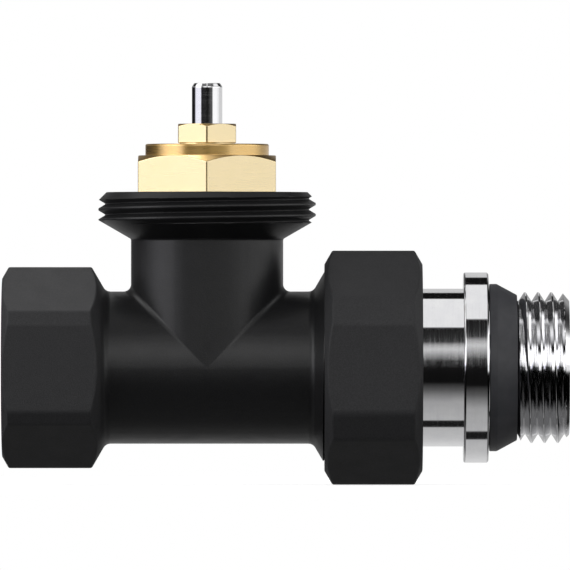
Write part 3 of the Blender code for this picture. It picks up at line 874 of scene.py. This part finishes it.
def coil():
    """Return spring: round wire whose end turns are closed up.
    """
    wire_r, coil_r = 0.45, 4.6
    bottom, top = low("return_spring", Z) + wire_r, high("return_spring", Z) - wire_r
    turns, per_turn, around = 5, 48, 12
    closing = 0.35
    count = turns * per_turn
    path = []
    for i in range(count + 1):
        along = i / count
        eased = along - closing * sin(tau * along) / tau
        path.append(Vector(round_stem(tau * turns * along, bottom + (top - bottom) * eased, coil_r)))
    columns = []
    for i, point in enumerate(path):
        forward = path[min(i + 1, count)] - path[max(i - 1, 0)]
        outwards = Vector((point.x - STEM_X, point.y, 0)).normalized()
        upwards = forward.cross(outwards).normalized()
        outwards = upwards.cross(forward).normalized()
        ring = [tau * k / around for k in range(around)]
        column = [point + wire_r * (cos(a) * outwards + sin(a) * upwards) for a in ring]
        columns.append([*column, column[0]])
    skin = Skin()
    skin.grid(columns, wrap=False)
    skin.cap(columns[0])
    skin.cap(columns[-1])
    piece = stands_for(skin.made("steel_coil", spring_wire), "return_spring")
    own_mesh(piece)
    return piece


# ---------------------------------------------------------------- the moving stem


def pin():
    """Polished pin over the head that rests on the spindle."""
    head_r, head_low, head_high = 2.8, low("pressure_pin", Z), 27.2
    top_r, chamfer = 1.78, 0.5
    corners = [
        (head_low, 0, 0),
        (head_low, head_r, 0.2),
        (head_high, head_r, 0.2),
        (head_high, PIN_R, 0),
        (PIN_TOP - chamfer, PIN_R, 0.3),
        (PIN_TOP, top_r, 0.15),
        (PIN_TOP, 0, 0),
    ]
    return turned_piece("polished_pin", "pressure_pin", polished_steel, round_stem, corners, False)


def spindle():
    """Spindle with a stud for the disc, a shoulder over the cup and a groove for the clip."""
    bottom, top = low("valve_spindle", Z), high("valve_spindle", Z)
    stud_r, shoulder_r = 1.5, 2.6
    shoulder_low, shoulder_high = 8.75, 9.7
    clip_groove = 24.5, 25.3, 1.35
    corners = [
        (bottom, 0, 0),
        (bottom, stud_r, 0.25),
        (shoulder_low, stud_r, 0),
        (shoulder_low, shoulder_r, 0.12),
        (shoulder_high, shoulder_r, 0.12),
        (shoulder_high, SPINDLE_R, 0),
        *groove(*clip_groove, SPINDLE_R),
        (top, SPINDLE_R, 0.25),
        (top, 0, 0),
    ]
    return turned_piece("brass_spindle", "valve_spindle", machined_brass, round_stem, corners, False)


def cup():
    """Cup that holds the rubber disc."""
    rim, plate_low, plate_high = low("disc_holder", Z), 7.15, high("disc_holder", Z)
    outer_r, cup_r = 6.9, 6.4
    corners = [
        (rim, cup_r, 0),
        (rim, outer_r, 0.15),
        (plate_high, outer_r, 0.4),
        (plate_high, DISC_BORE_R, 0),
        (plate_low, DISC_BORE_R, 0),
        (plate_low, cup_r, 0),
    ]
    return turned_piece("brass_cup", "disc_holder", machined_brass, round_stem, corners, True)


def disc_clamp():
    """Small hexagon nut under the rubber disc."""

    def outline(angle, hex_r):
        return rounded(ring_corners(DISC_BORE_R, hex_r, low("disc_nut", Z), high("disc_nut", Z), 0.1))

    section = hexagon(DISC_NUT_FLATS, rounding=0.12, turn=CORNER_ON_Y, grain=0.25)
    skin = Skin().turned(round_stem, section, outline, closed=True)
    return stands_for(skin.made("brass_disc_clamp", machined_brass), "disc_nut")


def clip():
    """C-shaped clip that carries the spring plate."""
    inner_r, outer_r = 1.5, 3.3
    corners = ring_corners(inner_r, outer_r, low("spindle_clip", Z), high("spindle_clip", Z), 0.08)
    section = open_circle(0.0, half_gap=radians(30), count=60)
    return open_ring("steel_clip", "spindle_clip", round_stem, section, rounded(corners))


# ---------------------------------------------------------------- tailpiece and union nut


def tail():
    """Chromed tailpiece: nose, barrel with the snap ring's groove, flange, pipe thread and key socket."""
    nose_r, bore_r = NOSE_BORE_R - 0.3, 6.3
    barrel_start = BODY_END + 0.3
    flange_r = 13.12
    relief_r, end_r = 9.0, 9.23
    run_in, end_slope = 2.2, 1.2
    crest_r = TAIL_THREAD.root_r + TAIL_THREAD.depth
    key_start, key_edge = 69.5, 0.25
    bevel = 0.22
    seal_groove = 50.2, 52.2, 7.65
    ring_groove = 53.9, 55.5, 10.1

    def bound(along):
        return min(relief_r + (along - SEAL_END) * run_in, crest_r, end_r + (TAIL_END - along) * end_slope)

    outside = [
        (NOSE_START, bore_r, 0),
        (NOSE_START, nose_r, 0.25),
        *groove(*seal_groove, nose_r, rounding=0.08),
        (barrel_start, nose_r, 0),
        (barrel_start, TAIL_R, 0.15),
        *groove(*ring_groove, TAIL_R, rounding=0.08),
        (FLANGE_START, TAIL_R, 0),
        (FLANGE_START, flange_r, 0.25),
        (FLANGE_END - bevel, flange_r, 0.03),
        (FLANGE_END, flange_r - bevel, 0.03),
        (FLANGE_END, relief_r, 0),
        (SEAL_END, relief_r, 0),
    ]
    points = rounded(outside)

    def outline(angle, key_r):
        thread = thread_rows(TAIL_THREAD, SEAL_END, TAIL_END, angle, bound)
        socket = [
            (TAIL_END, key_r + key_edge),
            (TAIL_END - key_edge, key_r),
            (key_start, key_r),
            (key_start, bore_r),
        ]
        return [*points, thread, *socket]

    section = hexagon(KEY_FLATS, rounding=0.25, grain=0.35)
    skin = Skin().turned(round_flow, section, outline, closed=True)
    return stands_for(skin.made("chromed_tail", chrome), "tailpiece", sharp_angle=25)


def seal():
    """Tapered ring that seals against the radiator's port."""
    outer_r, end_r, inner_r = 11.54, 10.02, 9.15
    corners = [
        (SEAL_START, inner_r, 0),
        (SEAL_START, outer_r, 0.12),
        (SEAL_START + 1.0, outer_r, 0.5),
        (SEAL_END, end_r, 0.15),
        (SEAL_END, inner_r, 0),
    ]
    return turned_piece("port_seal", "seal_ring", port_seal_polymer, round_flow, corners, True)


def wire_ring():
    """The snap ring behind the union nut's lip."""
    ring_r, wire_r = 11.0, 0.65
    middle = (low("nut_snap_ring", X) + high("nut_snap_ring", X)) / 2
    section = open_circle(pi, half_gap=radians(8), count=90)
    return open_ring("snap_wire", "nut_snap_ring", round_flow, section, bead(middle, ring_r, wire_r))


def nut():
    """Coated hexagon nut with rounded edges, chamfered faces and the tapped bore."""
    face_r, mouth_r = 14.25, 13.52
    mouth_end, lip = NUT_START + 0.4, 55.6
    groove_end = lip - 0.9
    crest_r = NUT_THREAD.root_r - NUT_THREAD.depth
    lip_r, lip_edge = TAIL_R + SLIDING_GAP, 0.2

    def bound(along):
        return mouth_r - (along - mouth_end)

    def outline(angle, hex_r):
        chamfer = (hex_r - face_r) / STEEP
        outside = [
            (NUT_END - lip_edge, lip_r, 0),
            (NUT_END, lip_r + lip_edge, 0),
            (NUT_END, face_r, 0.3),
            (NUT_END - chamfer, hex_r, 0.35),
            (NUT_START + chamfer, hex_r, 0.35),
            (NUT_START, face_r, 0.3),
            (NUT_START, mouth_r, 0),
        ]
        thread = thread_rows(NUT_THREAD, mouth_end, lip, angle, bound, fade_out=groove_end)
        return [*rounded(outside), thread, (lip, crest_r), (lip, lip_r)]

    section = hexagon(NUT_FLATS, NUT_CORNER, rounding=2.0)
    skin = Skin().turned(round_flow, section, outline, closed=True)
    return stands_for(skin.made("coated_nut", coated_nut), "union_nut")


# ---------------------------------------------------------------- assembly

tee_casting()
insert()
gland()
coil()
o_ring("insert_seal", "insert_o_ring", round_stem, middle=13.25, ring_r=7.5, section_r=0.55)
o_ring("gland_seal", "gland_o_ring", round_stem, middle=28.85, ring_r=2.65, section_r=0.38)
o_ring("union_seal", "union_o_ring", round_flow, middle=51.2, ring_r=8.35, section_r=0.6)
washer("brass_guide", "spindle_guide", machined_brass, bore_r=SPINDLE_R + SLIDING_GAP, outer_r=5.85)
washer("brass_washer", "gland_washer", machined_brass, bore_r=PIN_R + SLIDING_GAP, outer_r=2.95)
washer("brass_plate", "spring_plate", machined_brass, bore_r=SPINDLE_R + SLIDING_GAP, outer_r=5.5)
washer("rubber_disc", "valve_disc", black_rubber, bore_r=DISC_BORE_R, outer_r=6.2, rounding=0.2)
pin()
spindle()
cup()
disc_clamp()
clip()
tail()
seal()
wire_ring()
nut()


# ---------------------------------------------------------------- studio


# Radiance round an axis as (degrees, radiance) stops, up to the strongest. Round X, 0 is towards the
# camera and 90 up. Round Y, 0 is to the right and 90 up. Round Z, 0 is towards the camera and 90 to the
# right. The strips are what polished round pieces mirror. The banks beside them light the coated pieces.
STRONGEST = 5.0
STRIP_ROUND_X = [
    (-180, 0.7), (-150, 0.66), (-126, 0.53), (-98, 0.46), (-97, 0.008), (-84, 0.008),
    (-83, 0.46), (-61, 0.4), (-51, 0.37), (-33, 0.1), (-21, 0.005), (10, 0.005),
    (20, 0.33), (27, 0.55), (33, 0.35), (38, 0.02), (61.5, 0.005), (62, 0.85),
    (121, 0.85), (121.5, 0.006), (142, 0.006), (142.5, 0.6), (180, 0.6),
]
STRIP_ROUND_Z = [
    (-180, 0.7), (-165, 0.7), (-164, 0.01), (-106, 0.01), (-94, 0.97), (-47, 0.97),
    (-45, 0.02), (14, 0.01), (20, 0.05), (40, 0.1), (46, 1.12), (75, 1.12),
    (103, 0.85), (104, 0.7), (180, 0.7),
]
BANKS_ROUND_X = [
    (-180, 0.5), (-145, 0.35), (-118, 0.1), (-100, 0.0), (1, 0.0), (12, 1.65),
    (34, 1.75), (44, 0.35), (60, 0.2), (84, 0.18), (86, 0.7), (94, 0.7),
    (96, 0.04), (150, 0.04), (180, 0.4),
]
BANKS_ROUND_Y = [
    (-180, 0.0), (30, 0.0), (38, 1.0), (52, 1.0), (60, 0.0), (116, 0.0),
    (124, 1.6), (148, 1.6), (156, 0.0), (180, 0.0),
]
BANKS_ROUND_Z = [
    (-180, 0.2), (-110, 0.3), (-95, 1.0), (-80, 3.2), (-54, 3.4), (-40, 0.2),
    (15, 0.2), (30, 0.9), (46, 1.6), (80, 1.65), (108, 1.7), (120, 0.3), (180, 0.3),
]
BANKS_RISE = 0.17
GLOW = 0.14


def round_axis(nodes, up, across, stops):
    """Radiance by the angle round an axis, from the direction's two coordinates across it."""
    turn = nodes.maths("ADD", nodes.maths("DIVIDE", nodes.maths("ARCTAN2", up, across), tau), 0.5)
    return nodes.ramp(turn, [(degrees / 360 + 0.5, radiance / STRONGEST) for degrees, radiance in stops])


def near_zero(nodes, coordinate, full, faded):
    """1 where the coordinate is within full of 0, falling to 0 where it is past faded."""
    return nodes.span(nodes.maths("ABSOLUTE", coordinate), full, faded, 1.0, 0.0)


def banks(nodes, x, front, z):
    """The broad lights round the three axes and a faint glow from below, as a part of the strongest."""
    raised = nodes.maths("SUBTRACT", z, BANKS_RISE)
    behind = nodes.maths("ADD", front, 0.3)
    lights = [
        (round_axis(nodes, z, front, BANKS_ROUND_X), near_zero(nodes, x, 0.35, 0.6)),
        (round_axis(nodes, z, x, BANKS_ROUND_Y), near_zero(nodes, front, 0.3, 0.5)),
        (round_axis(nodes, x, front, BANKS_ROUND_Z), near_zero(nodes, raised, 0.12, 0.24)),
        (nodes.span(z, -0.35, -0.55, 0.0, GLOW / STRONGEST), near_zero(nodes, behind, 0.3, 0.6)),
    ]
    brightest = 0.0
    for radiance, extent in lights:
        brightest = nodes.maths("MAXIMUM", brightest, nodes.maths("MULTIPLY", radiance, extent))
    return brightest


def tint(nodes, x, z):
    """White light, a little cooler in the left strip."""
    leftness = nodes.maths("MULTIPLY", nodes.maths("MULTIPLY", x, -1.0), near_zero(nodes, z, 0.08, 0.14))
    return nodes.ramp(leftness, [(0.2, (1.0, 1.0, 1.0)), (0.6, (0.97, 0.965, 1.06))])


def studio():
    """A dark room with soft lights above, below and to both sides, and a white backdrop."""
    world = bpy.data.worlds.new("studio")
    bpy.context.scene.world = world
    world.use_nodes = True
    nodes = Nodes(world.node_tree)
    world.node_tree.nodes.clear()
    direction = nodes.add("ShaderNodeTexCoord", {}).outputs["Generated"]
    x, y, z = nodes.add("ShaderNodeSeparateXYZ", {"Vector": direction}).outputs
    front = nodes.maths("MULTIPLY", y, -1.0)
    radiance = banks(nodes, x, front, z)
    strip_z = round_axis(nodes, x, front, STRIP_ROUND_Z)
    radiance = nodes.blend(near_zero(nodes, z, 0.03, 0.055), radiance, strip_z)
    strip_x = round_axis(nodes, z, front, STRIP_ROUND_X)
    radiance = nodes.blend(near_zero(nodes, x, 0.035, 0.06), radiance, strip_x)
    strength = nodes.maths("MULTIPLY", radiance, STRONGEST)
    lights = nodes.add("ShaderNodeBackground", {"Color": tint(nodes, x, z), "Strength": strength})
    backdrop = nodes.add("ShaderNodeBackground", {"Color": (1, 1, 1, 1), "Strength": 1.0})
    seen = nodes.add("ShaderNodeLightPath", {}).outputs["Is Camera Ray"]
    both = nodes.add("ShaderNodeMixShader", {0: seen, 1: lights.outputs[0], 2: backdrop.outputs[0]})
    nodes.add("ShaderNodeOutputWorld", {"Surface": both.outputs[0]})


def soft_box(name, place, target, sides, power, spread):
    """A small rectangular lamp behind the object, whose narrow beam is aimed at one piece.

    Places and sides are in millimetres, power is in watts and spread in degrees.
    """
    data = bpy.data.lights.new(name, "AREA")
    data.shape = "RECTANGLE"
    data.size, data.size_y = (side * MM for side in sides)
    data.energy = power
    data.spread = radians(spread)
    obj = bpy.data.objects.new(name, data)
    bpy.context.scene.collection.objects.link(obj)
    obj.location = Vector(place) * MM
    obj.rotation_euler = (Vector(target) - Vector(place)).to_track_quat("-Z", "Y").to_euler()
    obj.visible_camera = False


def floor():
    """A pale floor just under the union nut, seen by the camera alone."""
    half, gap = 90, 0.05
    middle_x, height = TAIL_END / 2, low("union_nut", Z) - gap
    corners = [(middle_x + x * half, y * half, height) for x, y in ((-1, -1), (1, -1), (1, 1), (-1, 1))]
    mesh = bpy.data.meshes.new("floor")
    mesh.from_pydata([Vector(corner) * MM for corner in corners], [], [(0, 1, 2, 3)])
    finish = Finish("pale_floor", specular=0.1)
    finish.vary("Base Color", finish.noise(4.0), 0.86, 0.9)
    finish.shader.inputs["Roughness"].default_value = 0.8
    finish.shader.inputs["Emission Color"].default_value = (1, 1, 1, 1)
    finish.shader.inputs["Emission Strength"].default_value = 0.8
    mesh.materials.append(finish.material)
    plane = bpy.data.objects.new("floor", mesh)
    bpy.context.scene.collection.objects.link(plane)
    plane.visible_glossy = False
    plane.visible_diffuse = False


def camera():
    """A long lens, level and square to the flow axis. Its place is in millimetres."""
    middle_x, middle_z, distance = 38.995, 11.393, 2184
    data = bpy.data.cameras.new("camera")
    data.lens = 1000
    data.sensor_width = 36
    data.clip_end = 10
    obj = bpy.data.objects.new("camera", data)
    bpy.context.scene.collection.objects.link(obj)
    obj.location = Vector((middle_x, -distance, middle_z)) * MM
    obj.rotation_euler = (pi / 2, 0, 0)
    bpy.context.scene.camera = obj


studio()
soft_box("inlet_lamp", (-8, 75, 140), (6, 0, 10), sides=(50, 70), power=0.002, spread=36)
soft_box("insert_lamp", (STEM_X, 46, 76), (STEM_X, 0, 30), sides=(26, 46), power=0.00024, spread=30)
floor()
camera()
bpy.context.scene.view_settings.view_transform = "Standard"
